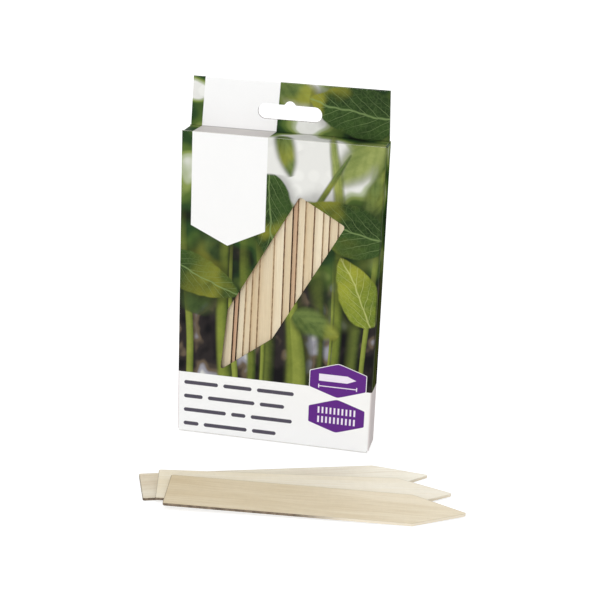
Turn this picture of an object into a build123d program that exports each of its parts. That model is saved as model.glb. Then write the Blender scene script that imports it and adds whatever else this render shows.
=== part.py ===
from build123d import *
from math import asin, atan, cos, degrees, radians, sin
import os

os.makedirs("parts", exist_ok=True)

# A hang-tab carton of wooden label stakes, with three more stakes lying in front of it.
# Millimetres. The origin is the centre of the carton's base, +X right, +Y back, +Z up.

# Stakes
stake_length = 130.0
stake_width = 25.0
stake_thickness = 1.2
point_length = 23.0
blunt_corner_radius = 1.0
tip_radius = 0.8

# Row of stakes inside: parallel, leaning like shingles, right edges to the front
stakes_inside = 20
stake_gap = 0.03
row_side_play = 1.2
row_depth_play = 0.3
slide_play = 3.2
# How far each stake's point has slipped along its neighbour, as shares of slide_play
slide_shares = [
    -0.41, -0.99, -0.99, -0.99, -0.99, 0.50, 0.93, 0.98, 0.53, 0.52,
    0.75, 1.00, 0.81, 1.00, 0.80, 0.60, 0.45, 0.20, 0.12, 0.00,
]
# How far each stake has tipped to the right beside its neighbour, in degrees
stake_tilts = [2.0, 2.2, 1.8, 1.2, 0.9] + 15 * [0.0]

# Carton
carton_width = 93.5
headroom = 15.5
board = 0.5
fold_radius = 1.0
crease_land = 0.3
crease_gap = 0.05

# Header
header_height = 22.8
header_foot_inset = 0.6
header_top_inset = 1.5
slot_width = 29.7
slot_height = 6.9
slot_drop = 13.6
bump_width = 5.0
bump_height = 1.8
bump_shoulder_radius = 0.8

# Window, cut to the outline of a stake that leans to the right
window_length = 92.3
window_width = 24.7
window_point = 26.8
window_lean = 29.3
window_tip_inset = 21.2
window_tip_height = 34.7
window_corner_radius = 1.4

# Lid and tuck flap
lid_side_gap = 0.3
tuck_length = 12.0
tuck_lean = 14.0
tuck_gap = 0.15
tuck_side_gap = 0.5
tuck_corner_radius = 5.0

# Dust flaps at the top
dust_length = 21.0
dust_tuck_gap = 0.4
dust_taper = 1.2
dust_corner_radius = 2.5
# Most that a corner may take of the flap's free end
dust_corner_share = 0.45

# Glued bottom
bottom_flap_length = 24.0
bottom_gap = 0.2
bottom_corner_radius = 1.5

# Side seam
glue_width = 12.0
glue_taper = 5.0
glue_end_gap = 1.0

# Loose stakes on the floor: centre from the carton's front face, and turn to the left
pile_gap = 0.02
rear_stake_x = 16.5
rear_stake_distance = 41.9
rear_stake_turn = 21.7
middle_stake_x = 26.6
middle_stake_distance = 50.3
middle_stake_turn = 13.4
front_stake_x = 33.8
front_stake_distance = 61.6
front_stake_turn = 7.9

# One overrun for all cuts that go right through
overrun = 2.0

# Row of stakes: the lean is the one at which the row just fills the carton's width
fitting_rounds = 12
stake_pitch_across = stake_thickness + stake_gap
row_room = carton_width - 2 * board - 2 * row_side_play
lean = 0.0
for _ in range(fitting_rounds):
    row_run = row_room - stake_width * cos(lean) - stake_thickness * sin(lean)
    lean = asin((stakes_inside - 1) * stake_pitch_across / row_run)
row_pitch = stake_pitch_across / sin(lean)
row_depth = stake_width * sin(lean) + stake_thickness * cos(lean) + 2 * slide_play * sin(lean)

# Carton sizes that follow from its contents
bottom_stack = 3 * board
carton_height = bottom_stack + stake_length + headroom
carton_depth = row_depth + 2 * row_depth_play + 3 * board
row_middle_y = -board / 2
front_y = -carton_depth / 2
back_y = carton_depth / 2
right_x = carton_width / 2
wall_x = right_x - board / 2
wall_y = back_y - board / 2
fold_mid_radius = fold_radius - board / 2
corner = fold_radius + crease_land
flap_half_width = right_x - fold_radius

# Crease axes
lid_axis_y = back_y - 2 * board - crease_gap
tuck_axis_y = front_y + board + tuck_gap + board
tuck_axis_z = carton_height - board
dust_axis_x = right_x - board
dust_axis_z = carton_height - 2 * board - crease_gap
lid_half_width = right_x - board - lid_side_gap
tuck_half_width = right_x - board - tuck_side_gap
dust_front_y = tuck_axis_y + tuck_length * sin(radians(tuck_lean)) + dust_tuck_gap
side_back_y = back_y - board - corner
dust_end_width = side_back_y - dust_front_y - 2 * dust_taper


def stake_outline(length, width, point, corner_radius, point_radius):
    """Blunt-ended stake along +Y, its rounded point at the origin."""
    half_angle = atan(width / 2 / point)
    rounded_off = point_radius / sin(half_angle) - point_radius
    with BuildSketch() as outline:
        with BuildLine():
            Polyline(
                (0, -rounded_off),
                (width / 2, point),
                (width / 2, length),
                (-width / 2, length),
                (-width / 2, point),
                close=True,
            )
        make_face()
        fillet(outline.vertices().group_by(Axis.Y)[-1], corner_radius)
        fillet(outline.vertices().group_by(Axis.Y)[0], point_radius)
    return outline.sketch


def slot_outline():
    """Rounded hang slot with the small centring notch in its upper edge."""
    notch_radius = (bump_width ** 2 / 4 + bump_height ** 2) / (2 * bump_height)
    with BuildSketch() as outline:
        SlotOverall(slot_width, slot_height)
        with Locations((0, slot_height / 2 + bump_height - notch_radius)):
            Circle(notch_radius)
        fillet(outline.vertices().sort_by(Axis.Y)[-4:].sort_by(Axis.X)[1:3], bump_shoulder_radius)
    return outline.sketch


# Planes on which the upright shapes are drawn
front_plane = Plane(origin=(0, front_y, 0), x_dir=(1, 0, 0), z_dir=(0, -1, 0))
slot_z = carton_height + header_height - slot_drop
slot_plane = Plane(origin=(0, back_y + overrun, slot_z), x_dir=(1, 0, 0), z_dir=(0, -1, 0))

# Front wall: both corner bends belong to it
with BuildPart() as front_panel:
    with BuildSketch(Plane.XY.offset(corner)):
        with BuildLine():
            FilletPolyline(
                (-wall_x, front_y + corner),
                (-wall_x, -wall_y),
                (wall_x, -wall_y),
                (wall_x, front_y + corner),
                radius=fold_mid_radius,
            )
        trace(line_width=board)
    extrude(amount=carton_height - corner)
    window_across = (cos(radians(window_lean)), 0, -sin(radians(window_lean)))
    window_plane = Plane(
        origin=(window_tip_inset - right_x, front_y, window_tip_height),
        x_dir=window_across,
        z_dir=(0, -1, 0),
    )
    with BuildSketch(window_plane):
        add(
            stake_outline(
                window_length, window_width, window_point, window_corner_radius, tip_radius
            )
        )
    extrude(amount=-corner, mode=Mode.SUBTRACT)
front_panel.part.label = "front_panel"
export_step(front_panel.part, "parts/front_panel.step")

# Back wall, with the header's rear ply above it. Its left edge is the raw edge of the seam
with BuildPart() as back_panel:
    with BuildSketch(Plane.XY.offset(board + corner)):
        with BuildLine():
            FilletPolyline(
                (-right_x, wall_y),
                (wall_x, wall_y),
                (wall_x, back_y - corner),
                radius=fold_mid_radius,
            )
        trace(line_width=board)
    extrude(amount=carton_height - board - corner)
    with BuildSketch(Plane.XZ.offset(-back_y)):
        with BuildLine():
            Polyline(
                (-right_x + header_foot_inset, carton_height),
                (right_x - header_foot_inset, carton_height),
                (right_x - header_top_inset, carton_height + header_height - board),
                (-right_x + header_top_inset, carton_height + header_height - board),
                close=True,
            )
        make_face()
    extrude(amount=board)
    with BuildSketch(slot_plane):
        add(slot_outline())
    extrude(amount=2 * overrun + 2 * board, mode=Mode.SUBTRACT)
back_panel.part.label = "back_panel"
export_step(back_panel.part, "parts/back_panel.step")

# Header's front ply, with the half-round fold over the header's top edge
with BuildPart() as header_front_ply:
    with BuildSketch(Plane.YZ.offset(-right_x)):
        with BuildLine():
            fold_centre = (back_y - board, carton_height + header_height - board)
            Line((back_y - 2 * board, carton_height), (back_y - board, carton_height))
            Line((back_y - board, carton_height), fold_centre)
            Line(fold_centre, (back_y, fold_centre[1]))
            CenterArc(fold_centre, board, 0, 180)
            Line((back_y - 2 * board, fold_centre[1]), (back_y - 2 * board, carton_height))
        make_face()
    extrude(amount=carton_width)
    with BuildSketch(front_plane):
        with BuildLine():
            Polyline(
                (-right_x + header_foot_inset, carton_height),
                (right_x - header_foot_inset, carton_height),
                (right_x - header_top_inset, carton_height + header_height),
                (-right_x + header_top_inset, carton_height + header_height),
                close=True,
            )
        make_face()
    extrude(amount=-carton_depth, mode=Mode.INTERSECT)
    with BuildSketch(slot_plane):
        add(slot_outline())
    extrude(amount=2 * overrun + 2 * board, mode=Mode.SUBTRACT)
header_front_ply.part.label = "header_front_ply"
export_step(header_front_ply.part, "parts/header_front_ply.step")

# Side walls, between the bends of the front wall and those behind
with BuildPart() as right_side_panel:
    with BuildSketch(Plane.YZ.offset(right_x - board)):
        with Locations((front_y + corner, 2 * board + corner)):
            Rectangle(
                carton_depth - 2 * corner,
                dust_axis_z - 2 * board - corner,
                align=(Align.MIN, Align.MIN),
            )
    extrude(amount=board)
right_side_panel.part.label = "right_side_panel"
export_step(right_side_panel.part, "parts/right_side_panel.step")

with BuildPart() as left_side_panel:
    with BuildSketch(Plane.YZ.offset(-right_x)):
        with Locations((front_y + corner, 2 * board + corner)):
            Rectangle(
                side_back_y - front_y - corner,
                dust_axis_z - 2 * board - corner,
                align=(Align.MIN, Align.MIN),
            )
    extrude(amount=board)
left_side_panel.part.label = "left_side_panel"
export_step(left_side_panel.part, "parts/left_side_panel.step")

# Inner lap of the side seam, glued to the back wall, with tapered ends
with BuildPart() as glue_flap:
    glue_foot = 2 * board + corner + glue_end_gap
    glue_head = dust_axis_z - glue_end_gap
    with BuildSketch(Plane.XY.offset(glue_foot)):
        with BuildLine():
            FilletPolyline(
                (-wall_x, side_back_y),
                (-wall_x, wall_y - board),
                (-right_x + glue_width, wall_y - board),
                radius=fold_mid_radius,
            )
        trace(line_width=board)
    extrude(amount=glue_head - glue_foot)
    with BuildSketch(Plane.XZ.offset(-back_y)):
        with BuildLine():
            Polyline(
                (-right_x, glue_foot),
                (-right_x + corner, glue_foot),
                (-right_x + glue_width, glue_foot + glue_taper),
                (-right_x + glue_width, glue_head - glue_taper),
                (-right_x + corner, glue_head),
                (-right_x, glue_head),
                close=True,
            )
        make_face()
    extrude(amount=carton_depth, mode=Mode.INTERSECT)
glue_flap.part.label = "glue_flap"
export_step(glue_flap.part, "parts/glue_flap.step")

# Lid, with the rounded bead of its crease at the foot of the header
with BuildPart() as lid_panel:
    with BuildSketch(Plane.YZ.offset(-lid_half_width)):
        with BuildLine():
            Line((tuck_axis_y, carton_height), (tuck_axis_y, carton_height - board))
            Line((tuck_axis_y, carton_height - board), (lid_axis_y, carton_height - board))
            CenterArc((lid_axis_y, carton_height), board, -90, 90)
            Line((lid_axis_y + board, carton_height), (tuck_axis_y, carton_height))
        make_face()
    extrude(amount=2 * lid_half_width)
lid_panel.part.label = "lid_panel"
export_step(lid_panel.part, "parts/lid_panel.step")

# Tuck flap: a plate that leans in behind the front wall, under the lid's rounded front crease
with BuildPart() as tuck_flap:
    tuck_normal = (0, -cos(radians(tuck_lean)), -sin(radians(tuck_lean)))
    tuck_plane = Plane(
        origin=(0, tuck_axis_y, tuck_axis_z), x_dir=(1, 0, 0), z_dir=tuck_normal
    )
    with BuildSketch(tuck_plane) as tuck_face:
        with Locations((0, -tuck_length / 2)):
            Rectangle(2 * tuck_half_width, tuck_length)
        fillet(tuck_face.vertices().group_by(Axis.Y)[0], tuck_corner_radius)
    extrude(amount=board)
    with BuildSketch(Plane.YZ.offset(-tuck_half_width)):
        with BuildLine():
            tuck_crease = (tuck_axis_y, tuck_axis_z)
            crease_arc = CenterArc(tuck_crease, board, 90, 90 + tuck_lean)
            Line(crease_arc @ 1, tuck_crease)
            Line(tuck_crease, crease_arc @ 0)
        make_face()
    extrude(amount=2 * tuck_half_width)
tuck_flap.part.label = "tuck_flap"
export_step(tuck_flap.part, "parts/tuck_flap.step")

# Top dust flaps, cut back at the front to let the tuck flap pass
with BuildPart() as right_dust_flap:
    with BuildSketch(Plane.XY.offset(dust_axis_z)) as dust_face:
        with BuildLine():
            Polyline(
                (dust_axis_x, dust_front_y),
                (dust_axis_x, side_back_y),
                (dust_axis_x - dust_length, side_back_y - dust_taper),
                (dust_axis_x - dust_length, dust_front_y + dust_taper),
                close=True,
            )
        make_face()
        dust_corner = min(dust_corner_radius, dust_corner_share * dust_end_width)
        fillet(dust_face.vertices().group_by(Axis.X)[0], dust_corner)
    extrude(amount=board)
    with BuildSketch(Plane.XZ.offset(-side_back_y)):
        with BuildLine():
            dust_crease = (dust_axis_x, dust_axis_z)
            dust_arc = CenterArc(dust_crease, board, 0, 90)
            Line(dust_arc @ 1, dust_crease)
            Line(dust_crease, dust_arc @ 0)
        make_face()
    extrude(amount=side_back_y - dust_front_y)
right_dust_flap.part.label = "right_dust_flap"
export_step(right_dust_flap.part, "parts/right_dust_flap.step")

with BuildPart() as left_dust_flap:
    mirror(right_dust_flap.part, about=Plane.YZ)
left_dust_flap.part.label = "left_dust_flap"
export_step(left_dust_flap.part, "parts/left_dust_flap.step")

# Glued bottom: the outer flap comes round from the front wall, the inner one from the back
with BuildPart() as bottom_outer_flap:
    with BuildSketch(Plane.YZ.offset(-flap_half_width)):
        with BuildLine():
            FilletPolyline(
                (-wall_y, corner),
                (-wall_y, board / 2),
                (back_y - bottom_gap, board / 2),
                radius=fold_mid_radius,
            )
        trace(line_width=board)
    extrude(amount=2 * flap_half_width)
    fillet(
        bottom_outer_flap.edges().filter_by(Axis.Z).group_by(Axis.Y)[-1], bottom_corner_radius
    )
bottom_outer_flap.part.label = "bottom_outer_flap"
export_step(bottom_outer_flap.part, "parts/bottom_outer_flap.step")

with BuildPart() as bottom_inner_flap:
    with BuildSketch(Plane.YZ.offset(-flap_half_width)):
        with BuildLine():
            FilletPolyline(
                (wall_y, board + corner),
                (wall_y, board + board / 2),
                (front_y + corner + bottom_gap, board + board / 2),
                radius=fold_mid_radius,
            )
        trace(line_width=board)
    extrude(amount=2 * flap_half_width)
    fillet(
        bottom_inner_flap.edges().filter_by(Axis.Z).group_by(Axis.Y)[0], bottom_corner_radius
    )
bottom_inner_flap.part.label = "bottom_inner_flap"
export_step(bottom_inner_flap.part, "parts/bottom_inner_flap.step")

with BuildPart() as right_bottom_flap:
    with BuildSketch(Plane.XZ.offset(-(back_y - corner))):
        with BuildLine():
            FilletPolyline(
                (wall_x, 2 * board + corner),
                (wall_x, 2 * board + board / 2),
                (right_x - bottom_flap_length, 2 * board + board / 2),
                radius=fold_mid_radius,
            )
        trace(line_width=board)
    extrude(amount=carton_depth - 2 * corner)
    fillet(
        right_bottom_flap.edges().filter_by(Axis.Z).group_by(Axis.X)[0], bottom_corner_radius
    )
right_bottom_flap.part.label = "right_bottom_flap"
export_step(right_bottom_flap.part, "parts/right_bottom_flap.step")

with BuildPart() as left_bottom_flap:
    mirror(right_bottom_flap.part, about=Plane.YZ)
left_bottom_flap.part.label = "left_bottom_flap"
export_step(left_bottom_flap.part, "parts/left_bottom_flap.step")

# Stakes in the carton, points down on the bottom flaps
row_across = Vector(cos(lean), -sin(lean), 0)
row_normal = (-sin(lean), -cos(lean), 0)
foot_reach = tip_radius + stake_thickness / 2 * sin(lean)
for index, (slide_share, tilt) in enumerate(zip(slide_shares, stake_tilts)):
    slide = slide_share * slide_play
    stake_x = (index - (stakes_inside - 1) / 2) * row_pitch + slide * cos(lean)
    stake_y = row_middle_y - slide * sin(lean)
    stake_across = row_across * cos(radians(tilt)) - Vector(0, 0, sin(radians(tilt)))
    stands_on_side_flap = abs(stake_x) + foot_reach > right_x - bottom_flap_length
    foot_z = bottom_stack if stands_on_side_flap else 2 * board
    with BuildPart() as stake:
        tip_centre = (stake_x, stake_y, foot_z + tip_radius)
        with BuildSketch(Plane(origin=tip_centre, x_dir=stake_across, z_dir=row_normal)):
            with Locations((0, -tip_radius)):
                add(
                    stake_outline(
                        stake_length, stake_width, point_length, blunt_corner_radius, tip_radius
                    )
                )
        extrude(amount=stake_thickness / 2, both=True)
    stake.part.label = f"stake_{index + 1:02d}"
    export_step(stake.part, f"parts/stake_{index + 1:02d}.step")


def lying_plane(x, distance, turn, lift):
    """Underside of a stake that lies flat, point to the right, X towards the carton."""
    along = Vector(cos(radians(turn)), sin(radians(turn)), 0)
    across = Vector(-sin(radians(turn)), cos(radians(turn)), 0)
    centre = Vector(x, front_y - distance, lift)
    return Plane(origin=centre + along * (stake_length / 2), x_dir=across, z_dir=(0, 0, 1))


# Loose stakes. The rear one lies flat. The other two lie on each other, and both tip over
# its front upper edge until the front one's shoulder meets the floor
rear_plane = lying_plane(rear_stake_x, rear_stake_distance, rear_stake_turn, 0)
middle_plane = lying_plane(
    middle_stake_x, middle_stake_distance, middle_stake_turn, stake_thickness + pile_gap
)
foremost_plane = lying_plane(
    front_stake_x, front_stake_distance, front_stake_turn, 2 * (stake_thickness + pile_gap)
)
rear_edge_point = rear_plane.from_local_coords(Vector(-stake_width / 2, 0, stake_thickness))
shoulder = foremost_plane.from_local_coords(Vector(-stake_width / 2, point_length, 0))
overhang = (rear_edge_point - shoulder).dot(rear_plane.x_dir)
tip_over = 2 * degrees(atan((stake_thickness + pile_gap) / overhang))
tip_axis = Axis(rear_edge_point, -rear_plane.y_dir)

for name, plane, turn in (
    ("loose_stake_rear", rear_plane, 0),
    ("loose_stake_middle", middle_plane, tip_over),
    ("loose_stake_front", foremost_plane, tip_over),
):
    with BuildPart() as flat_stake:
        with BuildSketch(plane):
            add(
                stake_outline(
                    stake_length, stake_width, point_length, blunt_corner_radius, tip_radius
                )
            )
        extrude(amount=stake_thickness)
    with BuildPart() as loose_stake:
        add(flat_stake.part.rotate(tip_axis, turn))
    loose_stake.part.label = name
    export_step(loose_stake.part, f"parts/{name}.step")
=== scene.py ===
import math

import bpy
import numpy as np
from mathutils import Matrix, Vector


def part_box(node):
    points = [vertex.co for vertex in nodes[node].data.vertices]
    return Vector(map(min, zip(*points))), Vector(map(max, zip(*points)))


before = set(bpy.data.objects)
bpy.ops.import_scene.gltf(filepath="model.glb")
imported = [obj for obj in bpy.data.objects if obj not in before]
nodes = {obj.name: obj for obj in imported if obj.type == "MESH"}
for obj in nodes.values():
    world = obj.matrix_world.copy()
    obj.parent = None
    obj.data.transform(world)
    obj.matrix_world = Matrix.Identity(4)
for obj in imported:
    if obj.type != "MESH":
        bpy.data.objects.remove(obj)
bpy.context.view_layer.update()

# The look of a pack of wooden plant labels: printed carton, row of stakes, three loose ones.
# Sizes of the carton, read from the frame, in millimetres
PER_METRE = 1000.0
front_low, front_high = (corner * PER_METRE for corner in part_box("front_panel"))
_, back_high = (corner * PER_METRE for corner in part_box("back_panel"))
ply_low, ply_high = (corner * PER_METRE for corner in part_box("header_front_ply"))
HALF_WIDTH = front_high.x
FRONT_Y = front_low.y
BACK_Y = back_high.y
DEPTH = BACK_Y - FRONT_Y
CARTON_TOP = ply_low.z
HEADER_TOP = ply_high.z
BOARD = (ply_high.y - ply_low.y) / 2
FOLD_RADIUS = 2 * BOARD
# How far below its face a surface still counts as that face
SKIN = 0.06
# Share of a direction above which a face counts as square to it
FLAT_ON = 0.5
X_AXIS = (1.0, 0.0, 0.0)
Y_AXIS = (0.0, 1.0, 0.0)
Z_AXIS = (0.0, 0.0, 1.0)

# Camera: the photograph's view
CAMERA_TARGET = Vector((10.9, FRONT_Y, 72.5)) / PER_METRE
CAMERA_AZIMUTH = math.radians(11.3)
CAMERA_ELEVATION = math.radians(18.4)
CAMERA_ROLL = math.radians(2.4)
CAMERA_DISTANCE = 0.69
CAMERA_LENS = 90.06
CAMERA_SENSOR = 36.0
CAMERA_CLIP = (0.01, 50.0)


class Field:
    """A number, vector or colour that varies over a surface: one output of a node tree."""

    def __init__(self, tree, socket):
        self.tree = tree
        self.socket = socket

    def math(self, operation, *operands, clamp=False):
        node = self.tree.nodes.new("ShaderNodeMath")
        node.operation = operation
        node.use_clamp = clamp
        for socket, operand in zip(node.inputs, operands):
            feed(self.tree, socket, operand)
        return Field(self.tree, node.outputs[0])

    def __add__(self, other):
        return self.math("ADD", self, other)

    def __radd__(self, other):
        return self.math("ADD", other, self)

    def __sub__(self, other):
        return self.math("SUBTRACT", self, other)

    def __rsub__(self, other):
        return self.math("SUBTRACT", other, self)

    def __mul__(self, other):
        return self.math("MULTIPLY", self, other)

    def __rmul__(self, other):
        return self.math("MULTIPLY", other, self)

    def __truediv__(self, other):
        return self.math("DIVIDE", self, other)

    def __pow__(self, other):
        return self.math("POWER", self, other)

    def __abs__(self):
        return self.math("ABSOLUTE", self)

    def floor(self):
        return self.math("FLOOR", self)

    def fraction(self):
        return self.math("FRACT", self)

    def sign(self):
        return self.math("SIGN", self)

    def at_least(self, other):
        return self.math("MAXIMUM", self, other)

    def at_most(self, other):
        return self.math("MINIMUM", self, other)

    def above(self, limit):
        return self.math("GREATER_THAN", self, limit)

    def below(self, limit):
        return self.math("LESS_THAN", self, limit)

    def limited(self):
        return self.math("ADD", self, 0.0, clamp=True)

    def ramp(self, low, high):
        """0 at low and 1 at high, smooth between; low may be the larger."""
        node = self.tree.nodes.new("ShaderNodeMapRange")
        node.interpolation_type = "SMOOTHSTEP"
        feed(self.tree, node.inputs["Value"], self)
        feed(self.tree, node.inputs["From Min"], low)
        feed(self.tree, node.inputs["From Max"], high)
        return Field(self.tree, node.outputs["Result"])

    def colours(self, *stops):
        """The colour at this value between stops of (place, colour)."""
        node = self.tree.nodes.new("ShaderNodeValToRGB")
        node.color_ramp.interpolation = "EASE"
        elements = node.color_ramp.elements
        elements[0].position, elements[0].color = stops[0]
        elements[1].position, elements[1].color = stops[-1]
        for place, colour in stops[1:-1]:
            elements.new(place).color = colour
        feed(self.tree, node.inputs["Fac"], self)
        return Field(self.tree, node.outputs["Color"])


def feed(tree, socket, value):
    """Links a field to a socket, or sets the socket's own value."""
    if isinstance(value, Field):
        tree.links.new(value.socket, socket)
    else:
        socket.default_value = value


def joined(x, y, z=0.0):
    """A vector field of three numbers."""
    node = x.tree.nodes.new("ShaderNodeCombineXYZ")
    for socket, value in zip(node.inputs, (x, y, z)):
        feed(x.tree, socket, value)
    return Field(x.tree, node.outputs[0])


def dot(vector, constant):
    """How far a vector field reaches along a constant direction."""
    node = vector.tree.nodes.new("ShaderNodeVectorMath")
    node.operation = "DOT_PRODUCT"
    feed(vector.tree, node.inputs[0], vector)
    node.inputs[1].default_value = constant
    return Field(vector.tree, node.outputs["Value"])


def noise(place, scale, detail=2.0, roughness=0.5):
    """Soft noise from 0 to 1 over a vector field."""
    node = place.tree.nodes.new("ShaderNodeTexNoise")
    node.inputs["Scale"].default_value = scale
    node.inputs["Detail"].default_value = detail
    node.inputs["Roughness"].default_value = roughness
    feed(place.tree, node.inputs["Vector"], place)
    return Field(place.tree, node.outputs["Fac"])


def chances(cell):
    """Three steady random numbers from 0 to 1 for each whole number."""
    tree = cell.tree
    node = tree.nodes.new("ShaderNodeTexWhiteNoise")
    node.noise_dimensions = "1D"
    feed(tree, node.inputs["W"], cell)
    parts = tree.nodes.new("ShaderNodeSeparateColor")
    tree.links.new(node.outputs["Color"], parts.inputs[0])
    return [Field(tree, output) for output in parts.outputs]


def mixed(share, first, second):
    """The first colour where share is 0, the second where it is 1, and a blend between."""
    node = share.tree.nodes.new("ShaderNodeMix")
    node.data_type = "RGBA"
    feed(share.tree, node.inputs["Factor"], share)
    feed(share.tree, node.inputs[6], first)
    feed(share.tree, node.inputs[7], second)
    return Field(share.tree, node.outputs[2])


def tinted(colour, factor):
    """A colour made lighter or darker by a field."""
    tree = colour.tree
    node = tree.nodes.new("ShaderNodeVectorMath")
    node.operation = "SCALE"
    feed(tree, node.inputs[0], colour)
    feed(tree, node.inputs["Scale"], factor)
    return Field(tree, node.outputs[0])


def between(share, low, high):
    """A number that is low where share is 0 and high where it is 1."""
    return share * (high - low) + low


def rgb(red, green, blue):
    """The linear colour of one that is given in 0 to 255."""
    linear = [
        part / 255 / 12.92 if part <= 10 else ((part / 255 + 0.055) / 1.055) ** 2.4
        for part in (red, green, blue)
    ]
    return (*linear, 1.0)


def new_material(name):
    """A material with a Principled shader, and its tree."""
    material = bpy.data.materials.new(name)
    material.use_nodes = True
    return material, material.node_tree


def coordinates(tree):
    """The place in the frame in millimetres, as a vector and as three numbers."""
    source = tree.nodes.new("ShaderNodeTexCoord")
    scaled = tree.nodes.new("ShaderNodeVectorMath")
    scaled.operation = "SCALE"
    scaled.inputs["Scale"].default_value = PER_METRE
    tree.links.new(source.outputs["Object"], scaled.inputs[0])
    parts = tree.nodes.new("ShaderNodeSeparateXYZ")
    tree.links.new(scaled.outputs[0], parts.inputs[0])
    return Field(tree, scaled.outputs[0]), [Field(tree, output) for output in parts.outputs]


def face_normal(tree):
    """The direction that the surface faces, in the frame."""
    source = tree.nodes.new("ShaderNodeTexCoord")
    return Field(tree, source.outputs["Normal"])


def finish_surface(tree, colour, roughness, height, bump_distance, bump_strength):
    """Feeds the Principled shader with a colour, a roughness and a bump."""
    shader = tree.nodes["Principled BSDF"]
    feed(tree, shader.inputs["Base Color"], colour)
    feed(tree, shader.inputs["Roughness"], roughness)
    bump = tree.nodes.new("ShaderNodeBump")
    bump.inputs["Distance"].default_value = bump_distance
    bump.inputs["Strength"].default_value = bump_strength
    feed(tree, bump.inputs["Height"], height)
    tree.links.new(bump.outputs["Normal"], shader.inputs["Normal"])
    return shader


# Colours of the printed picture
NIGHT_GREEN = rgb(18, 26, 14)
DARK_GREEN = rgb(40, 68, 32)
LEAF_GREEN = rgb(82, 106, 46)
SOFT_GREEN = rgb(132, 148, 80)
SAGE = rgb(174, 184, 150)
PALE_GREY = rgb(230, 230, 226)
GREY_BLUE = rgb(152, 152, 162)
GROUND = rgb(42, 37, 37)
GROUND_DARK = rgb(13, 12, 15)
BARK = rgb(100, 87, 72)
SUNLIT = rgb(184, 180, 62)
# Darker print on the side walls, deepened by painted shade
SIDE_DARK_PRINT_AND_SHADE = rgb(32, 34, 22)

# Kinds of leaf: darkest, lightest and vein colour, the veins' strength and count, and how soft
# the edge is
SHADED_LEAF = (rgb(8, 24, 10), rgb(68, 96, 42), rgb(138, 162, 102), 0.65, 7.0, 0.05)
FRESH_LEAF = (rgb(58, 86, 26), rgb(152, 164, 60), rgb(206, 210, 136), 0.65, 6.0, 0.06)
BLURRED_LEAF = (rgb(34, 60, 24), rgb(130, 148, 80), rgb(124, 142, 84), 0.15, 4.0, 0.35)
FAR_LEAF = (rgb(30, 48, 24), rgb(84, 104, 54), rgb(70, 100, 56), 0.05, 4.0, 0.50)
SUNLIT_LEAF = (rgb(92, 112, 50), rgb(172, 180, 108), rgb(150, 164, 90), 0.05, 4.0, 0.50)

# Outline of every leaf, in shares of its length and width
LEAF_SWELL = 2.55
LEAF_BASE_POWER = 0.55
LEAF_TIP_POWER = 0.85
LEAF_END = 0.03
# Shade that a leaf casts on what lies behind it
LEAF_SHADOW_REACH = (-0.6, 0.1)
LEAF_SHADOW = 0.45
# Veins: their slant, half widths, and how strongly each kind shows
VEIN_SLANT = 0.45
SIDE_VEIN_HALF = 0.07
SIDE_VEIN_FADE = (1.1, 0.2)
SIDE_VEIN_SHARE = 0.8
MIDRIB_HALF = 0.06
NET_SHARE = 0.16
NET_HALF = 0.10
NET_CELL = 2.2
# Light and dark of the blade: mottling, the swell between veins, one half against the other,
# patches of sun, and how far the outline wanders
MOTTLE_SHARE = 0.85
SWELL_REACH = 0.35
SWELL_SHARE = 0.12
HALVES_REACH = 0.25
HALVES_SHARE = 0.2
BLADE_DARKER = 0.14
SUN_RUN = (0.1, 0.9)
SUN_SHARE = 0.5
SUN_PATCHES = (0.46, 0.62)
LEAF_WOBBLE = 0.35

# The leaves from the farthest to the nearest: kind, place of the stalk, turn, length, width
# and bend
LEAVES = (
    (FAR_LEAF, ((-40.0, 60.0), 76.0, 44.0, 9.0, 0.2)),
    (SUNLIT_LEAF, ((46.0, 153.0), -126.0, 32.0, 7.5, -0.2)),
    (BLURRED_LEAF, ((40.0, 112.0), 70.0, 27.0, 4.5, 0.3)),
    (BLURRED_LEAF, ((-1.5, 153.0), -72.0, 24.0, 4.0, -0.4)),
    (SUNLIT_LEAF, ((30.0, 96.0), 96.0, 66.0, 2.2, 1.2)),
    (BLURRED_LEAF, ((12.0, 108.0), 62.0, 40.0, 1.2, -0.8)),
    (BLURRED_LEAF, ((8.0, 66.0), -28.0, 24.0, 6.0, 0.3)),
    (SHADED_LEAF, ((-6.0, 131.0), -88.0, 44.0, 10.5, 0.3)),
    (FRESH_LEAF, ((44.0, 62.0), 108.0, 36.0, 9.5, 0.45)),
    (SHADED_LEAF, ((50.0, 103.0), 168.0, 46.0, 12.0, -0.35)),
    (SHADED_LEAF, ((-56.0, 88.0), -28.0, 42.0, 9.5, 0.4)),
    (BLURRED_LEAF, ((-12.0, 188.0), -30.0, 30.0, 7.0, 0.3)),
    (SHADED_LEAF, ((50.0, 170.0), 176.0, 42.0, 12.0, -0.3)),
)

# The stems from the farthest to the nearest: pitch, half width, blur, seed, darkest and
# lightest colour
STEMS = (
    (15.0, 2.4, 0.85, 3.0, rgb(42, 54, 26), rgb(104, 116, 52)),
    (20.0, 2.1, 0.45, 21.0, rgb(64, 80, 30), rgb(136, 148, 62)),
    (17.0, 1.5, 0.25, 8.0, rgb(76, 92, 34), rgb(152, 162, 74)),
)
# How a stem differs from its neighbours: place in its cell, girth, whether it is there, height
STEM_SHIFT = 0.45
THINNEST_STEM = 0.55
STEM_GIRTH_RANGE = 0.9
STEMS_MISSING = 0.22
STEM_HEIGHT_RANGE = 26.0
STEM_TOPS = (98.0, 60.0)
# Light and dark over a stem, and the shade beside it
STEM_TONE = 0.62
STEM_LIT_FROM_LEFT = 0.30
STEM_ROUNDNESS = 0.25
STEM_MOTTLE = 0.8
STEM_TONE_RANGE = 0.4
STEM_SHADOW_SIDE = 0.4
STEM_SHADOW_REACH = (1.8, 0.6)
STEM_SHADOW = 0.3
# How the stems sway with height: width, pace round and up the carton, seed
STEM_SWAY = 22.0
SWAY_PACE = (0.6, 0.12)
SWAY_SEED = 7.0

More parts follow.
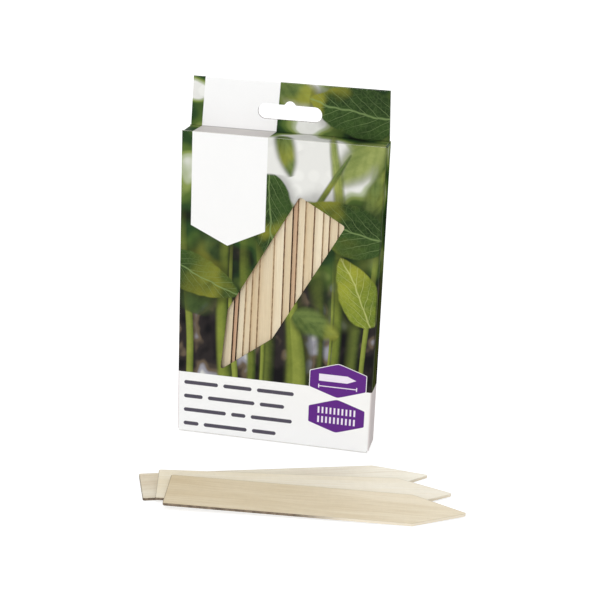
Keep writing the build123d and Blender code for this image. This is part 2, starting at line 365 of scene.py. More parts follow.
# Patches of light in the blurred background: centre, half width, half height and strength
GLOWS = (
    ((16.0, 136.0), 34.0, 28.0, 0.60),
    ((14.0, 141.0), 15.0, 13.0, 0.14),
    ((4.0, 178.0), 22.0, 11.0, 0.42),
    ((6.0, 166.0), 16.0, 7.0, 0.36),
    ((-44.0, 177.0), 8.0, 7.0, 0.34),
    ((-44.0, 163.0), 9.0, 8.0, 0.16),
    ((-43.0, 130.0), 7.0, 9.0, 0.20),
)
# How the tone of the background wanders, and the colours that it passes through
WANDER_SHARE = 1.15
GARDEN_TONE = 0.46
GARDEN_STOPS = (
    (0.30, NIGHT_GREEN), (0.42, DARK_GREEN), (0.52, LEAF_GREEN), (0.60, SOFT_GREEN),
    (0.70, SAGE), (0.80, PALE_GREY),
)
GROUND_STOPS = (
    (0.38, GROUND_DARK), (0.50, GROUND), (0.57, BARK), (0.66, GREY_BLUE), (0.76, PALE_GREY),
)
# Ground below the leaves, and the height at which it gives way to them
GROUND_STRETCH = 0.8
GROUND_SEED = 4.0
HORIZON = (62.0, 94.0)
HORIZON_SWAY = 60.0
# Round blurs: size, softness and strength
DISC_SIZE = 8.0
DISC_EDGE = (0.46, 0.26)
DISC_SHARE = 0.16
# Side walls: darker print and painted shade, where it ends past the rear corner and how it grows
# downward
REAR_CORNER = (66.0, 60.0)
SIDE_SHADE_RISE = (152.0, 60.0)
SIDE_SHADE_SHARE = 0.6


def leaf(u, v, wobble, base, turn, length, width, bend):
    """A pointed oval leaf: the place along and across it, and the depth inside its edge."""
    c, s = math.cos(math.radians(turn)), math.sin(math.radians(turn))
    along = ((u - base[0]) * c + (v - base[1]) * s) / length
    across = ((v - base[1]) * c - (u - base[0]) * s) / width - along * along * bend + wobble
    reach = along.limited()
    half_width = LEAF_SWELL * (reach ** LEAF_BASE_POWER) * ((1.0 - reach) ** LEAF_TIP_POWER)
    return along, across, half_width - abs(across)


def paint_leaf(picture, u, v, textures, style, form):
    """Lays one leaf and the soft shade that it casts over the picture."""
    shade, wobble, sun, net = textures
    dark, light, vein, vein_share, vein_count, blur = style
    along, across, depth = leaf(u, v, wobble, *form)
    ends = along.ramp(0.0, LEAF_END) * along.ramp(1.0, 1.0 - LEAF_END)
    shade_cast = depth.ramp(*LEAF_SHADOW_REACH) * ends
    picture = tinted(picture, 1.0 - shade_cast * LEAF_SHADOW)
    rise = (along - abs(across) * VEIN_SLANT) * vein_count
    from_vein = abs(rise.fraction() - 0.5)
    swell = from_vein.ramp(0.0, SWELL_REACH)
    side_veins = from_vein.ramp(SIDE_VEIN_HALF, 0.0) * abs(across).ramp(*SIDE_VEIN_FADE)
    midrib = abs(across).ramp(MIDRIB_HALF, 0.0)
    veins = (side_veins * SIDE_VEIN_SHARE).at_least(midrib).at_least(net * NET_SHARE)
    halves = across.ramp(-HALVES_REACH, HALVES_REACH)
    tone = shade * MOTTLE_SHARE + swell * SWELL_SHARE + halves * HALVES_SHARE - BLADE_DARKER
    body = mixed(tone.limited(), dark, light)
    body = mixed(sun * along.ramp(*SUN_RUN) * SUN_SHARE, body, SUNLIT)
    body = mixed(veins * vein_share, body, vein)
    return mixed(depth.ramp(-blur, blur) * ends, picture, body)


def paint_stems(picture, u, v, shade, pitch, half_width, blur, seed, dark, light):
    """Lays upright stems over the picture, one to a cell of the pitch, some left out."""
    cell = (u / pitch).floor()
    shift, chance, girth = chances(cell + seed)
    centre = (cell + 0.5 + (shift - 0.5) * STEM_SHIFT) * pitch
    offset = (u - centre) / ((girth * STEM_GIRTH_RANGE + THINNEST_STEM) * half_width)
    below_top = (v - girth * STEM_HEIGHT_RANGE).ramp(*STEM_TOPS)
    present = chance.above(STEMS_MISSING) * below_top
    cover = abs(offset).ramp(1.0 + blur, 1.0 - blur) * present
    tone = STEM_TONE - offset * STEM_LIT_FROM_LEFT - abs(offset) * STEM_ROUNDNESS
    tone = tone + (shade - 0.5) * STEM_MOTTLE + (shift - 0.5) * STEM_TONE_RANGE
    beside = abs(offset - STEM_SHADOW_SIDE).ramp(*STEM_SHADOW_REACH) * present
    picture = tinted(picture, 1.0 - beside * STEM_SHADOW)
    return mixed(cover, picture, mixed(tone.limited(), dark, light))


def glow(u, v, centre, half_width, half_height):
    """A soft round patch, 1 in its middle and 0 outside."""
    p, q = (u - centre[0]) / half_width, (v - centre[1]) / half_height
    return (p * p + q * q).ramp(1.0, 0.0)


def vein_net(place):
    """Fine pale lines between small cells, as in the blade of a leaf."""
    node = place.tree.nodes.new("ShaderNodeTexVoronoi")
    node.feature = "DISTANCE_TO_EDGE"
    node.inputs["Scale"].default_value = 1.0 / NET_CELL
    feed(place.tree, node.inputs["Vector"], place)
    return Field(place.tree, node.outputs["Distance"]).ramp(NET_HALF, 0.0)


def soft_discs(place):
    """Round blurs of light, as out-of-focus leaves make, and a random number for each."""
    node = place.tree.nodes.new("ShaderNodeTexVoronoi")
    node.inputs["Scale"].default_value = 1.0 / DISC_SIZE
    feed(place.tree, node.inputs["Vector"], place)
    parts = place.tree.nodes.new("ShaderNodeSeparateColor")
    place.tree.links.new(node.outputs["Color"], parts.inputs[0])
    distance = Field(place.tree, node.outputs["Distance"])
    return distance.ramp(*DISC_EDGE), Field(place.tree, parts.outputs[0])


def far_garden(u, v, place):
    """The blurred background: leaves and pale light above, dark ground with pale spots below."""
    wide = noise(place, scale=0.05, detail=1.5)
    light = 0.0
    for centre, half_width, half_height, strength in GLOWS:
        light = glow(u, v, centre, half_width, half_height) * strength + light
    upper = ((wide - 0.5) * WANDER_SHARE + light + GARDEN_TONE).colours(*GARDEN_STOPS)
    discs, luck = soft_discs(place)
    upper = tinted(upper, 1.0 + discs * (luck - 0.5) * DISC_SHARE)
    low = joined(u, v * GROUND_STRETCH, GROUND_SEED)
    ground = noise(low, scale=0.075, detail=2.0).colours(*GROUND_STOPS)
    return mixed((v + (wide - 0.5) * HORIZON_SWAY).ramp(*HORIZON), ground, upper)


def foliage(u, v):
    """A soft picture of stems and leaves over dark ground, over the whole blank, with darker print
    and painted shade on the side walls.
    """
    place = joined(u, v)
    shade = noise(place, scale=0.16, detail=5.0, roughness=0.68)
    wobble = (noise(place, scale=0.09, detail=2.0) - 0.5) * LEAF_WOBBLE
    sun = noise(place, scale=0.045, detail=2.0).ramp(*SUN_PATCHES)
    textures = (shade, wobble, sun, vein_net(place))
    picture = far_garden(u, v, place)

    slow = joined(u * SWAY_PACE[0], v * SWAY_PACE[1], SWAY_SEED)
    sway = (noise(slow, scale=0.06, detail=1.0) - 0.5) * STEM_SWAY
    for pitch, half_width, blur, seed, dark, light in STEMS:
        picture = paint_stems(
            picture, u + sway, v, shade, pitch, half_width, blur, seed, dark, light
        )
    for style, form in LEAVES:
        picture = paint_leaf(picture, u, v, textures, style, form)
    # Side walls: darker print, with painted shade that grows downward
    on_side = u.ramp(HALF_WIDTH - FOLD_RADIUS, HALF_WIDTH) * u.ramp(*REAR_CORNER)
    return mixed(on_side * v.ramp(*SIDE_SHADE_RISE) * SIDE_SHADE_SHARE, picture, SIDE_DARK_PRINT_AND_SHADE)


# Plain areas and marks of the print
BAND_HEIGHT = 30.8
PANEL_CENTRE = -24.2
PANEL_HALF_WIDTH = 17.5
PANEL_TIP = 95.0
PANEL_RISE = 8.3
PANEL_LEAN = 0.055
HEXAGON_CENTRE_U = 30.5
HEXAGON_CENTRES_V = (34.7, 17.1)
HEXAGON_HALF_WIDTH = 13.3
HEXAGON_HALF_HEIGHT = 8.5
HEXAGON_SIDE_HALF = 4.0
HEXAGON_RIM = 0.3
HEXAGON_ROUNDING = 0.8
EDGE_BLUR = 0.12
WHITE = rgb(249, 249, 249)
# Painted shade: the white of the side walls and the lid, greyer than the front's
SIDE_SHADED_WHITE = rgb(228, 220, 220)
LID_SHADED_WHITE = rgb(226, 221, 218)
PURPLE = rgb(98, 44, 134)
INK = rgb(84, 80, 92)
SIGN_PALE = rgb(240, 232, 246)
# The lying stake's sign and its length line, about the middle of the upper hexagon
SIGN_LIFT = 1.1
SIGN_HALF_LENGTH = 9.0
SIGN_HALF_WIDTH = 1.75
SIGN_POINT_SLOPE = 0.42
SIGN_POINT_REACH = 3.6
LENGTH_LINE_DROP = 4.3
LENGTH_LINE_HALF = 0.22
LENGTH_END_HALF = 0.95
# The twenty strokes in the lower hexagon
STROKE_PITCH = 1.9
STROKE_HALF = 0.42
STROKE_HALF_HEIGHT = 1.6
STROKE_ROW_OFFSET = 2.35
STROKES_HALF_WIDTH = 9.5
# Rows of bars in place of words: height of the row, and start and end of each bar
BAR_HALF_HEIGHT = 0.95
WORD_ROWS = (
    (25.6, ((-43.6, -27.0), (-24.4, -10.6), (-8.0, 9.8))),
    (18.6, ((-43.6, -34.4), (-31.8, -9.0), (-6.4, 5.4))),
    (11.6, ((-43.6, -22.8), (-20.2, -13.2), (-10.6, 9.4))),
    (4.6, ((-43.6, -36.2), (-33.6, -12.4), (-9.8, 1.8))),
)
# The bare white area on the back
BACK_PLATE_CENTRE_V = 88.0
BACK_PLATE_HALF_WIDTH = 39.0
BACK_PLATE_HALF_HEIGHT = 52.0


def inside(distance):
    """1 where a signed distance is below zero, with a crisp printed edge."""
    return distance.ramp(EDGE_BLUR, -EDGE_BLUR)


def hexagon(u, v, centre_v):
    """Signed distance to a low hexagon with upright sides and slightly rounded corners."""
    p = abs(u - HEXAGON_CENTRE_U)
    q = abs(v - centre_v)
    slope = (HEXAGON_HALF_HEIGHT - HEXAGON_SIDE_HALF) / HEXAGON_HALF_WIDTH
    blunt = (p * p + HEXAGON_ROUNDING) ** 0.5
    roof = (q + blunt * slope - HEXAGON_HALF_HEIGHT) * math.cos(math.atan(slope))
    return roof.math("SMOOTH_MAX", roof, p - HEXAGON_HALF_WIDTH, HEXAGON_ROUNDING)


def plate(u, v, centre, half_width, half_height):
    """Signed distance to an upright rectangle."""
    return (abs(u - centre[0]) - half_width).at_least(abs(v - centre[1]) - half_height)


def stake_sign(u, v):
    """Signed distance to a small lying stake, with a length line under it."""
    du = u - HEXAGON_CENTRE_U
    dv = v - HEXAGON_CENTRES_V[0] - SIGN_LIFT
    body = (abs(dv) - SIGN_HALF_WIDTH).at_least(-SIGN_HALF_LENGTH - du)
    body = body.at_least(du * SIGN_POINT_SLOPE + abs(dv) - SIGN_POINT_REACH)
    line = plate(du, dv, (0.0, -LENGTH_LINE_DROP), SIGN_HALF_LENGTH, LENGTH_LINE_HALF)
    across_end = abs(abs(du) - SIGN_HALF_LENGTH) - LENGTH_LINE_HALF
    ends = across_end.at_least(abs(dv + LENGTH_LINE_DROP) - LENGTH_END_HALF)
    return body.at_most(line).at_most(ends)


def count_sign(u, v):
    """Signed distance to twenty short upright strokes in two rows."""
    du = u - HEXAGON_CENTRE_U
    dv = v - HEXAGON_CENTRES_V[1]
    stroke = abs((du / STROKE_PITCH).fraction() - 0.5) * STROKE_PITCH - STROKE_HALF
    rows = abs(abs(dv) - STROKE_ROW_OFFSET) - STROKE_HALF_HEIGHT
    return stroke.at_least(rows).at_least(abs(du) - STROKES_HALF_WIDTH)


def word_bars(u, v):
    """Signed distance to rows of short rounded bars."""
    distance = None
    for row_v, bars in WORD_ROWS:
        for start, end in bars:
            straight_half = (end - start) / 2 - BAR_HALF_HEIGHT
            reach = (abs(u - (start + end) / 2) - straight_half).at_least(0.0)
            off = v - row_v
            bar = (reach * reach + off * off) ** 0.5 - BAR_HALF_HEIGHT
            distance = bar if distance is None else distance.at_most(bar)
    return distance


def printed_colour(u, v, on_front, on_lid):
    """The whole print over the blank: picture, white areas and marks, the white greyed by painted
    shade on the lid and the side walls.
    """
    colour = foliage(u, v)
    on_wall = abs(u).ramp(HALF_WIDTH - FOLD_RADIUS, HALF_WIDTH) * abs(u).ramp(*REAR_CORNER)
    # Painted shade: the white is greyer on the side walls and the lid
    white = mixed(on_lid, mixed(on_wall, WHITE, SIDE_SHADED_WHITE), LID_SHADED_WHITE)
    from_panel = abs(u - PANEL_CENTRE - (v - CARTON_TOP).at_least(0.0) * PANEL_LEAN)
    panel = (from_panel - PANEL_HALF_WIDTH).at_least(
        PANEL_TIP - v + from_panel * (PANEL_RISE / PANEL_HALF_WIDTH)
    )
    band = v - BAND_HEIGHT
    back_centre = (HALF_WIDTH + DEPTH + HALF_WIDTH, BACK_PLATE_CENTRE_V)
    back_plate = plate(u, v, back_centre, BACK_PLATE_HALF_WIDTH, BACK_PLATE_HALF_HEIGHT)
    colour = mixed(inside(panel.at_most(band).at_most(back_plate)), colour, white)
    for centre_v in HEXAGON_CENTRES_V:
        shape = hexagon(u, v, centre_v)
        colour = mixed(inside(shape - HEXAGON_RIM), colour, WHITE)
        colour = mixed(inside(shape), colour, PURPLE)
    signs = inside(stake_sign(u, v).at_most(count_sign(u, v)))
    colour = mixed(signs * on_front, colour, SIGN_PALE)
    return mixed(inside(word_bars(u, v)) * on_front, colour, INK)


# Zones that hold the cut edges of the hang slot and of the window
SLOT_CENTRE_Z = HEADER_TOP - 13.6
SLOT_ZONE_HALF_WIDTH = 16.0
SLOT_ZONE_HALF_HEIGHT = 6.5
WINDOW_ZONE_HALF_WIDTH = HALF_WIDTH - 2 * FOLD_RADIUS
WINDOW_ZONE_MARGIN = 8.0
# Tones and gloss of the board
# Painted shade over the whole print on the lid
LID_SHADE = 0.74
PRINT_GLOSS = 0.10
BARE_FACE = (rgb(226, 224, 219), rgb(240, 239, 235))
FLAP_FACE = (rgb(224, 222, 216), rgb(241, 240, 236))
RAW_EDGE = (rgb(72, 61, 55), rgb(118, 104, 95))
RAW_SHARE = 0.7
PALE_CUT = rgb(236, 238, 222)
PALE_SHARE = 0.75
# How far the print comes round a corner, and the painted shade in the header's crease
BLEED = 4.0
CREASE_REACH = 0.45
CREASE_SHADE = 0.55
# Roughness of the faces from least to most, the height of their bump in metres and its
# strength, and the board's slow waves against its fine tooth
PRINT_ROUGHNESS = (0.50, 0.65)
FLAP_ROUGHNESS = (0.72, 0.87)
PRINT_BUMP = (0.00004, 0.25)
FLAP_BUMP = (0.00005, 0.3)
WAVE_SHARE = 2.0


def board_height(place):
    """Fine tooth of coated paperboard."""
    tooth = noise(place, scale=1.6, detail=4.0, roughness=0.6)
    waves = noise(place, scale=0.05, detail=1.0)
    return tooth + waves * WAVE_SHARE


def cut_edges(tree, x, y, z):
    """How raw the board looks: 1 round the holes, less along the side walls and the header."""
    normal = face_normal(tree)
    edge_on = abs(dot(normal, Y_AXIS)).below(FLAT_ON)
    facing_up = dot(normal, Z_AXIS).above(FLAT_ON)
    facing_sideways = abs(dot(normal, X_AXIS)).above(FLAT_ON)
    in_front_wall = y.below(FRONT_Y + BOARD + SKIN)

    side_walls = abs(x).above(HALF_WIDTH - BOARD - SKIN) * y.above(FRONT_Y + BOARD + SKIN)
    side_tops = facing_up * side_walls * z.above(CARTON_TOP - FOLD_RADIUS)
    side_tops = side_tops * y.below(BACK_Y - FOLD_RADIUS)
    header_sides = facing_sideways * z.above(CARTON_TOP - SKIN)

    slot = abs(z - SLOT_CENTRE_Z).below(SLOT_ZONE_HALF_HEIGHT)
    slot = slot * abs(x).below(SLOT_ZONE_HALF_WIDTH) * y.above(BACK_Y - 2 * BOARD - SKIN)
    window = in_front_wall * abs(x).below(WINDOW_ZONE_HALF_WIDTH)
    window = window * z.above(WINDOW_ZONE_MARGIN) * z.below(CARTON_TOP - WINDOW_ZONE_MARGIN)
    around_holes = edge_on * window.at_least(slot)
    return around_holes.at_least(side_tops.at_least(header_sides) * RAW_SHARE)


def tuck_crease(tree, y, z):
    """1 where the lid's print runs round its front crease, on the tuck flap."""
    outward = dot(face_normal(tree), (0.0, -1.0, 1.0)).above(FLAT_ON)
    behind_wall = y.above(FRONT_Y + BOARD + SKIN) * y.below(FRONT_Y + 3 * FOLD_RADIUS)
    return outward * behind_wall * z.above(CARTON_TOP - 2 * FOLD_RADIUS)


def front_cut(tree, y, z):
    """1 on the pale upper cut edge of the front wall."""
    facing_up = dot(face_normal(tree), Z_AXIS).above(FLAT_ON)
    return facing_up * y.below(FRONT_Y + BOARD + SKIN) * z.above(CARTON_TOP - 2 * FOLD_RADIUS)


def crease_shade_mask(y, z):
    """Painted shade: 1 in the crease between the lid and the foot of the header, fading out over a
    short reach.
    """
    lid_back = BACK_Y - 2 * BOARD
    up_the_ply = z.ramp(CARTON_TOP + CREASE_REACH, CARTON_TOP)
    along_the_lid = y.ramp(lid_back - CREASE_REACH, lid_back) * z.above(CARTON_TOP - SKIN)
    return up_the_ply * along_the_lid * y.below(BACK_Y - SKIN)


def blank_place(x, y, z, on_top):
    """The place on the unfolded blank: round the carton from the front's middle, and up."""
    from_front = y - FRONT_Y
    on_side = abs(x).above(HALF_WIDTH - FOLD_RADIUS) * (1.0 - on_top)
    on_back = y.above(BACK_Y - SKIN)
    wrapped = x + x.sign() * from_front * on_side
    behind = 2 * HALF_WIDTH + DEPTH - x
    return wrapped + (behind - wrapped) * on_back, z + from_front * on_top * (1.0 - on_back)


def outer_faces(tree, x, y, z, on_top):
    """1 on the outer faces of walls, lid and header, and where the print comes round an edge."""
    across = (abs(x) - (HALF_WIDTH - FOLD_RADIUS)).at_least(0.0)
    deep = (abs(y) - (BACK_Y - FOLD_RADIUS)).at_least(0.0)
    wall_depth = FOLD_RADIUS - (across * across + deep * deep) ** 0.5
    flat_depth = (HALF_WIDTH - abs(x)).at_most(BACK_Y - abs(y))
    outer_wall = wall_depth.at_most(flat_depth).below(SKIN)
    ply_front = y.below(BACK_Y - 2 * BOARD + SKIN)
    ply_top = z.above(HEADER_TOP - BOARD / 2)
    outer_top = on_top * ply_front.at_least(ply_top).at_least(y.above(BACK_Y - SKIN))
    corner = abs(x).above(HALF_WIDTH - BLEED) * z.above(CARTON_TOP - BLEED)
    corner = corner * z.below(CARTON_TOP + SKIN)
    outside = (outer_wall * (1.0 - on_top)).at_least(outer_top)
    return outside.at_least(tuck_crease(tree, y, z)).at_least(corner)


def printed_board():
    """Paperboard, printed on its outer faces and bare on the inner ones and the cut edges."""
    material, tree = new_material("printed_board")
    place, (x, y, z) = coordinates(tree)
    on_top = z.above(CARTON_TOP - SKIN)
    on_lid = on_top * z.below(CARTON_TOP + SKIN)
    on_front = (y - FRONT_Y).below(DEPTH / 2)
    u, v = blank_place(x, y, z, on_top)

    # Painted shade on the lid, and in the crease at the foot of the header
    ink = tinted(printed_colour(u, v, on_front, on_lid), 1.0 - on_lid * (1.0 - LID_SHADE))
    ink = tinted(ink, 1.0 - crease_shade_mask(y, z) * (1.0 - CREASE_SHADE))
    bare = mixed(noise(place, scale=0.9, detail=3.0), *BARE_FACE)
    colour = mixed(outer_faces(tree, x, y, z, on_top), bare, ink)
    raw = mixed(noise(place, scale=1.2, detail=3.0), *RAW_EDGE)
    colour = mixed(cut_edges(tree, x, y, z), colour, raw)
    colour = mixed(front_cut(tree, y, z) * PALE_SHARE, colour, PALE_CUT)
    roughness = between(noise(place, scale=0.35, detail=2.0), *PRINT_ROUGHNESS)
    shader = finish_surface(tree, colour, roughness, board_height(place), *PRINT_BUMP)
    shader.inputs["Specular IOR Level"].default_value = PRINT_GLOSS
    return material


def dull_copy(material):
    """The same board with no gloss, for the side walls."""
    dull = material.copy()
    dull.name = "printed_side"
    dull.node_tree.nodes["Principled BSDF"].inputs["Specular IOR Level"].default_value = 0.0
    return dull


def bare_board():
    """White paperboard, uncoated side out, with the print round the dust flaps' creases."""
    material, tree = new_material("bare_board")
    place, (x, y, z) = coordinates(tree)
    fibres = noise(place, scale=1.1, detail=5.0, roughness=0.65)
    crease = abs(x).above(HALF_WIDTH - BLEED) * z.above(CARTON_TOP - BLEED)
    colour = mixed(crease, mixed(fibres, *FLAP_FACE), DARK_GREEN)
    roughness = between(noise(place, scale=0.6), *FLAP_ROUGHNESS)
    finish_surface(tree, colour, roughness, fibres, *FLAP_BUMP)
    return material


# Noise drawn out along the grain: how fast it changes along and across the stake
GRAIN = (0.035, 0.9)
BROAD_BANDS = (0.010, 0.10)
FINE_LINES = (0.05, 4.5)
PORES = (0.6, 6.0)
FIGURE = (0.40, 0.22)
WAVES = (0.02, 0.05)
WAVE_HEIGHT = 5.0
# How strongly the grain shows in the colour and in the bump
GRAIN_SHARE = 1.3
BAND_SHARE = 1.4
PORE_EDGE = (0.66, 0.78)
PORE_SHARE = 0.12
LINE_BUMP_SHARE = 0.6
WOOD_BUMP = (0.00008, 0.35)
WOOD_ROUGHNESS = (0.50, 0.68)
WOOD_GLOSS = 0.2
CUT_TONE_SPREAD = (0.3, 0.7)
# Painted light over the loose stakes from left to right, in millimetres: their faces grow paler,
# and their cut edges go from painted shade to a paler lit tone
LIGHT_FADE_REACH = (-50.0, 95.0)
EDGE_LIGHT_FADE_REACH = (24.0, 54.0)
PAINTED_LIT_EDGE = rgb(244, 233, 212)
# A stake's outline: how much of each end is looked at to tell the point from the blunt end,
# the length of the point to where its edges would meet, and how far past the tip that is
END_REACH = 1.0
POINT_REACH = 23.9
TIP_ROUNDING = 0.9
# A darker rim of painted shade along the outline: from where to where, and how dark
RIM_SHADE_REACH = (0.5, 0.1)
END_RIM_SHADE = 0.40
SIDE_RIM_SHADE = 0.18


def stake_axes(node):
    """Directions along and across a stake, and square to its face."""
    points = np.array([vertex.co for vertex in node.data.vertices])
    _, vectors = np.linalg.eigh(np.cov((points - points.mean(axis=0)).T))
    square, across, along = (Vector(vectors[:, index]) for index in range(3))
    return along, across, square


def along_grain(run, side, pace, seed, detail, roughness=0.5):
    """Noise that is drawn out along the grain of a stake."""
    place = joined(run * pace[0], side * pace[1], seed)
    return noise(place, scale=1.0, detail=detail, roughness=roughness)


def outline_rim_shade(node, run, side, along, across):
    """How far painted shade darkens a stake's face near its outline, most at the blunt end."""
    points = [vertex.co * PER_METRE for vertex in node.data.vertices]
    runs = np.array([point.dot(along) for point in points])
    sides = np.array([point.dot(across) for point in points])
    spread_high = np.ptp(sides[runs > runs.max() - END_REACH])
    spread_low = np.ptp(sides[runs < runs.min() + END_REACH])
    tipward = 1.0 if spread_high < spread_low else -1.0
    blunt_end, tip = sorted((tipward * runs.min(), tipward * runs.max()))
    half_width = np.ptp(sides) / 2
    off = abs(side - (sides.min() + half_width))
    toward = run * tipward
    slope = half_width / POINT_REACH
    from_point = ((tip + TIP_ROUNDING - toward) * slope - off) * math.cos(math.atan(slope))
    from_sides = (half_width - off).at_most(from_point)
    at_end = (toward - blunt_end).ramp(*RIM_SHADE_REACH) * END_RIM_SHADE
    return at_end.at_least(from_sides.ramp(*RIM_SHADE_REACH) * SIDE_RIM_SHADE)


def birch(node, seed, pale, tan, tan_share, edge, figure_shares, light_fade=0.0):
    """Sanded birch veneer with its grain along one stake; on the loose stakes, painted light makes
    it paler to the right, with painted shade along the outline and the cut edges.
    """
    streaks, flecks = figure_shares
    along, across, square = stake_axes(node)
    material, tree = new_material("birch_" + node.name)
    place, (x, _, _) = coordinates(tree)
    run = dot(place, along)
    side = dot(place, across)
    wavy = side + along_grain(run, side, WAVES, seed, detail=1.0) * WAVE_HEIGHT
    grain = along_grain(run, wavy, GRAIN, seed, detail=5.0, roughness=0.62)
    broad = along_grain(run, wavy, BROAD_BANDS, seed + 5.0, detail=2.0)
    lines = along_grain(run, wavy, FINE_LINES, seed + 9.0, detail=2.0)
    pores = along_grain(run, wavy, PORES, seed + 2.0, detail=1.0).ramp(*PORE_EDGE)
    figure = along_grain(run, wavy, FIGURE, seed + 3.0, detail=3.0, roughness=0.6)
    share = (grain - 0.5) * GRAIN_SHARE + (broad - 0.5) * BAND_SHARE + tan_share
    light = 1.0 + (lines - 0.5) * streaks - pores * PORE_SHARE + (figure - 0.5) * flecks
    cut_tone = mixed(noise(place, scale=0.5, detail=3.0).ramp(*CUT_TONE_SPREAD), *edge)
    # Painted light paler to the right, painted shade along the outline and on the left of the cut
    # edges
    if light_fade:
        share = share - (x.ramp(*LIGHT_FADE_REACH) - 0.5) * light_fade
        light = light * (1.0 - outline_rim_shade(node, run, side, along, across))
        cut_tone = mixed(x.ramp(*EDGE_LIGHT_FADE_REACH), cut_tone, PAINTED_LIT_EDGE)
    colour = tinted(mixed(share.limited(), pale, tan), light)
    cut = abs(dot(face_normal(tree), square)).below(FLAT_ON)
    colour = mixed(cut, colour, cut_tone)
    roughness = between(grain, *WOOD_ROUGHNESS)
    height = grain + lines * LINE_BUMP_SHARE
    shader = finish_surface(tree, colour, roughness, height, *WOOD_BUMP)
    shader.inputs["Specular IOR Level"].default_value = WOOD_GLOSS
    return material


def dress(node, material):
    """Gives a CAD node one material in all its slots."""
    slots = node.material_slots
    if not slots:
        node.data.materials.append(material)
    for slot in slots:
        slot.material = material


# The carton's nodes by their finish
PRINTED = (
    "front_panel", "back_panel", "header_front_ply", "glue_flap", "lid_panel", "tuck_flap",
    "bottom_outer_flap",
)
SIDES = ("left_side_panel", "right_side_panel")
BARE = (
    "left_dust_flap", "right_dust_flap", "bottom_inner_flap", "left_bottom_flap",
    "right_bottom_flap",
)
# How strongly the fine lines and the figure show
ROW_FIGURE = (0.22, 0.08)
LOOSE_FIGURE = (0.09, 0.10)
# Veneer and its cut edges
CREAM = rgb(238, 225, 197)
TAN = rgb(217, 196, 160)
HEARTWOOD = rgb(204, 160, 131)
PALE_EDGE = (rgb(150, 126, 100), rgb(194, 170, 140))
BROWN_EDGE = (rgb(104, 78, 58), rgb(150, 120, 92))
DARK_EDGE = (rgb(52, 36, 28), rgb(92, 68, 50))
# How tan each stake in the carton is and the tone of its cut edge, from the left
ROW_TONES = (
    (0.35, DARK_EDGE), (0.50, DARK_EDGE), (0.30, PALE_EDGE), (0.45, PALE_EDGE),
    (0.60, PALE_EDGE), (0.45, PALE_EDGE), (0.15, BROWN_EDGE), (0.65, DARK_EDGE),
    (0.55, BROWN_EDGE), (0.15, PALE_EDGE), (0.75, BROWN_EDGE), (0.15, PALE_EDGE),
    (0.50, BROWN_EDGE), (0.55, PALE_EDGE), (0.40, BROWN_EDGE), (0.20, PALE_EDGE),
    (0.50, DARK_EDGE), (0.30, PALE_EDGE), (0.60, BROWN_EDGE), (0.40, PALE_EDGE),
)
ROW_SEED_STEP = 3.0
# Those cut from redder wood, counted from 0
HEARTWOOD_STAKES = (1, 8)
# Cut edges of the loose stakes, darkened by painted shade where not lit
LOOSE_SHADED_EDGE = (rgb(104, 90, 76), rgb(142, 126, 108))
# The loose stakes: seed of the grain, palest and tannest colour, how tan, and how much painted
# light pales them to the right
LOOSE_TONES = (
    ("loose_stake_rear", 71.0, rgb(253, 248, 232), rgb(224, 210, 184), 0.38, 0.7),
    ("loose_stake_middle", 83.0, rgb(250, 244, 229), rgb(239, 227, 200), 0.50, 0.7),
    ("loose_stake_front", 97.0, rgb(240, 228, 203), rgb(215, 197, 163), 0.48, 0.75),
)


def dress_object():
    """Gives every node of the object its material."""
    printed = printed_board()
    bare = bare_board()
    for name in PRINTED:
        dress(nodes[name], printed)
    dull = dull_copy(printed)
    for name in SIDES:
        dress(nodes[name], dull)
    for name in BARE:
        dress(nodes[name], bare)
    for index, (tan_share, edge) in enumerate(ROW_TONES):
        node = nodes[f"stake_{index + 1:02d}"]
        pale, tan = (TAN, HEARTWOOD) if index in HEARTWOOD_STAKES else (CREAM, TAN)
        dress(node, birch(node, ROW_SEED_STEP * index, pale, tan, tan_share, edge, ROW_FIGURE))
    for name, seed, pale, tan, tan_share, light_fade in LOOSE_TONES:
        node = nodes[name]
        dress(node, birch(node, seed, pale, tan, tan_share, LOOSE_SHADED_EDGE, LOOSE_FIGURE, light_fade))


def seen_or_mirrored(tree):
    """1 for what the camera sees, straight or in gloss or glass."""
    path = tree.nodes.new("ShaderNodeLightPath")
    rays = [
        Field(tree, path.outputs[name])
        for name in ("Is Camera Ray", "Is Glossy Ray", "Is Transmission Ray")
    ]
    return rays[0].at_least(rays[1]).at_least(rays[2])


# The floor, in metres: half its width, and how far it lies under the object
FLOOR_REACH = 6.0
FLOOR_DROP = 0.0002
FLOOR_SEEN_WHITE = 0.72
FLOOR_SEEN_SHADE = rgb(188, 188, 188)
FLOOR_COLOUR = rgb(228, 228, 226)


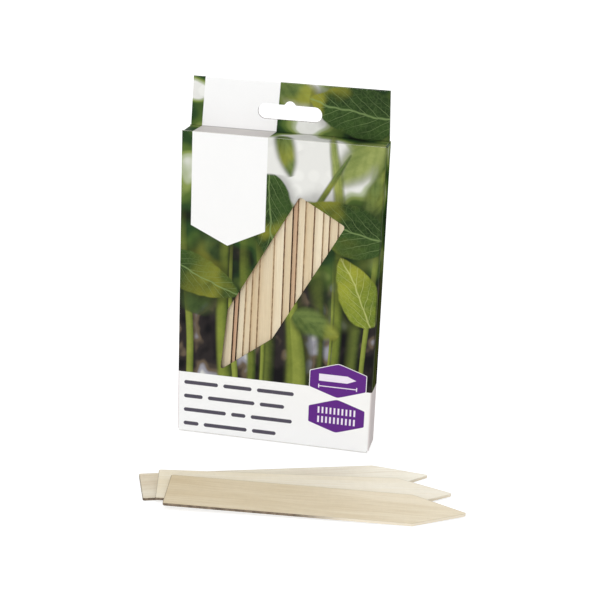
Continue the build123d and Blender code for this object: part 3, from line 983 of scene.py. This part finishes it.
def pale_floor():
    """A wide pale floor that shows white, with the object's soft shadow on it."""
    material, tree = new_material("pale_floor")
    tree.nodes.remove(tree.nodes["Principled BSDF"])
    plain = tree.nodes.new("ShaderNodeBsdfDiffuse")
    plain.inputs["Color"].default_value = FLOOR_COLOUR
    shade = tree.nodes.new("ShaderNodeBsdfDiffuse")
    shade.inputs["Color"].default_value = FLOOR_SEEN_SHADE
    white = tree.nodes.new("ShaderNodeEmission")
    white.inputs["Strength"].default_value = FLOOR_SEEN_WHITE
    seen = tree.nodes.new("ShaderNodeAddShader")
    tree.links.new(shade.outputs[0], seen.inputs[0])
    tree.links.new(white.outputs[0], seen.inputs[1])
    choice = tree.nodes.new("ShaderNodeMixShader")
    feed(tree, choice.inputs[0], seen_or_mirrored(tree))
    tree.links.new(plain.outputs[0], choice.inputs[1])
    tree.links.new(seen.outputs[0], choice.inputs[2])
    tree.links.new(choice.outputs[0], tree.nodes["Material Output"].inputs["Surface"])
    corners = [
        (x * FLOOR_REACH, y * FLOOR_REACH, -FLOOR_DROP)
        for x, y in ((-1, -1), (1, -1), (1, 1), (-1, 1))
    ]
    mesh = bpy.data.meshes.new("floor")
    mesh.from_pydata(corners, [], [(0, 1, 2, 3)])
    mesh.materials.append(material)
    floor = bpy.data.objects.new("floor", mesh)
    bpy.context.scene.collection.objects.link(floor)


WORLD_STRENGTH = 0.56
PLAIN_WHITE = (1.0, 1.0, 1.0, 1.0)


def studio_world():
    """Even light from all round, with a white background behind the object."""
    world = bpy.data.worlds.new("studio")
    world.use_nodes = True
    bpy.context.scene.world = world
    tree = world.node_tree
    around = tree.nodes["Background"]
    around.inputs["Color"].default_value = PLAIN_WHITE
    around.inputs["Strength"].default_value = WORLD_STRENGTH
    behind = tree.nodes.new("ShaderNodeBackground")
    behind.inputs["Color"].default_value = PLAIN_WHITE
    behind.inputs["Strength"].default_value = 1.0
    choice = tree.nodes.new("ShaderNodeMixShader")
    feed(tree, choice.inputs[0], seen_or_mirrored(tree))
    tree.links.new(around.outputs[0], choice.inputs[1])
    tree.links.new(behind.outputs[0], choice.inputs[2])
    tree.links.new(choice.outputs[0], tree.nodes["World Output"].inputs["Surface"])


LAMP_AIM = Vector((0.0, 0.0, 0.07))
LAMP_SIZE = 1.0
# Low in front, above for what lies on the floor, and a weak one behind: place and power
LAMPS = (
    ("key_lamp", Vector((-0.15, -1.75, 0.50)), 12.0),
    ("top_lamp", Vector((-0.1, -0.3, 1.8)), 8.0),
    ("back_lamp", Vector((0.15, 1.75, 0.50)), 7.0),
)


def soft_lamp(name, place, power):
    """A large square area lamp that points at the object."""
    data = bpy.data.lights.new(name, "AREA")
    data.shape = "SQUARE"
    data.size = LAMP_SIZE
    data.energy = power
    lamp = bpy.data.objects.new(name, data)
    lamp.location = place
    lamp.rotation_mode = "QUATERNION"
    lamp.rotation_quaternion = (LAMP_AIM - place).to_track_quat("-Z", "Y")
    bpy.context.scene.collection.objects.link(lamp)


def photo_camera():
    """The camera of the photograph, with its small roll."""
    back = Vector((
        math.sin(CAMERA_AZIMUTH) * math.cos(CAMERA_ELEVATION),
        -math.cos(CAMERA_AZIMUTH) * math.cos(CAMERA_ELEVATION),
        math.sin(CAMERA_ELEVATION),
    ))
    level = Vector(Z_AXIS).cross(back).normalized()
    upright = back.cross(level)
    right = math.cos(CAMERA_ROLL) * level + math.sin(CAMERA_ROLL) * upright
    up = math.cos(CAMERA_ROLL) * upright - math.sin(CAMERA_ROLL) * level
    matrix = Matrix((right, up, back)).transposed().to_4x4()
    matrix.translation = CAMERA_TARGET + back * CAMERA_DISTANCE
    data = bpy.data.cameras.new("camera")
    data.sensor_width = CAMERA_SENSOR
    data.lens = CAMERA_LENS
    data.clip_start, data.clip_end = CAMERA_CLIP
    camera = bpy.data.objects.new("camera", data)
    camera.matrix_world = matrix
    bpy.context.scene.collection.objects.link(camera)
    bpy.context.scene.camera = camera


photo_camera()
pale_floor()
studio_world()
for lamp_name, lamp_place, lamp_power in LAMPS:
    soft_lamp(lamp_name, lamp_place, lamp_power)
dress_object()
bpy.context.scene.view_settings.view_transform = "Standard"
